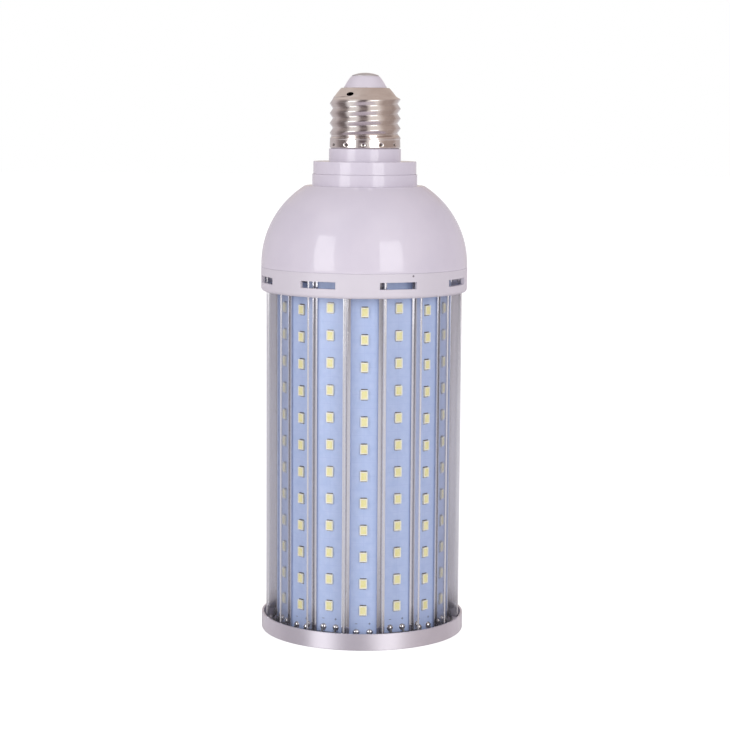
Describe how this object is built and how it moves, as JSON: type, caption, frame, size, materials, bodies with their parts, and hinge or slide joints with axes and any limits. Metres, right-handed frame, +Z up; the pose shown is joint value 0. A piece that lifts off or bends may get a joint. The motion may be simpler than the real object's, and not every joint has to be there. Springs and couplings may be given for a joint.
{
  "type": "corn led bulb",
  "caption": "Screw-cap lamp with rows of yellow light chips on pale blue boards round a finned aluminium column, under a white domed driver housing.",
  "frame": {"origin": "centre of the foot plate's flat underside, on the lamp's axis", "axes": "+Z up along the axis from the foot plate to the screw cap, -Y the front with the first board strip, +X to the right"},
  "size_m": [0.0772, 0.0772, 0.2099],
  "materials": {
    "polished_aluminium": "polished extrusion",
    "satin_aluminium": "satin spun sheet",
    "white_plastic": "semi-gloss moulding",
    "white_insulator": "moulded",
    "nickel_shell": "bright nickel plate",
    "contact_metal": "tinned",
    "screw_steel": "plated",
    "strip_board": "pale coated aluminium core",
    "light_chip": "yellow phosphor in a pale frame",
    "circuit_board": "coated laminate",
    "capacitor_sleeve": "sleeved can",
    "film_case": "moulded",
    "ferrite": "ferrite",
    "chip_case": "moulded",
    "fuse_sleeve": "coated",
    "solder": "solder on tinned lead",
    "lead_sleeve": "insulated lead"
  },
  "bodies": {
    "root": {"centre_contact": "contact_metal", "cap_insulator": "white_insulator", "screw_shell": "nickel_shell", "neck_adapter": "white_plastic", "domed_housing": "white_plastic", "slotted_collar": "white_plastic", "finned_column": "polished_aluminium", "board_strip_01": "strip_board", "board_strip_02": "strip_board", "board_strip_03": "strip_board", "board_strip_04": "strip_board", "board_strip_05": "strip_board", "board_strip_06": "strip_board", "board_strip_07": "strip_board", "board_strip_08": "strip_board", "board_strip_09": "strip_board", "board_strip_10": "strip_board", "board_strip_11": "strip_board", "board_strip_12": "strip_board", "board_strip_13": "strip_board", "board_strip_14": "strip_board", "board_strip_15": "strip_board", "board_strip_16": "strip_board", "chip_row_01": "light_chip", "chip_row_02": "light_chip", "chip_row_03": "light_chip", "chip_row_04": "light_chip", "chip_row_05": "light_chip", "chip_row_06": "light_chip", "chip_row_07": "light_chip", "chip_row_08": "light_chip", "chip_row_09": "light_chip", "chip_row_10": "light_chip", "chip_row_11": "light_chip", "chip_row_12": "light_chip", "chip_row_13": "light_chip", "chip_row_14": "light_chip", "chip_row_15": "light_chip", "chip_row_16": "light_chip", "foot_plate": "satin_aluminium", "foot_screws": "screw_steel", "collar_screws": "screw_steel", "board_screws": "screw_steel", "driver_board": "circuit_board", "storage_capacitor": "capacitor_sleeve", "film_capacitor": "film_case", "power_transformer": "ferrite", "bridge_rectifier": "chip_case", "fuse_resistor": "fuse_sleeve", "driver_chip": "chip_case", "board_links": "solder", "feed_leads": "solder", "contact_lead": "lead_sleeve", "shell_lead": "lead_sleeve"}
  },
  "joints": []
}
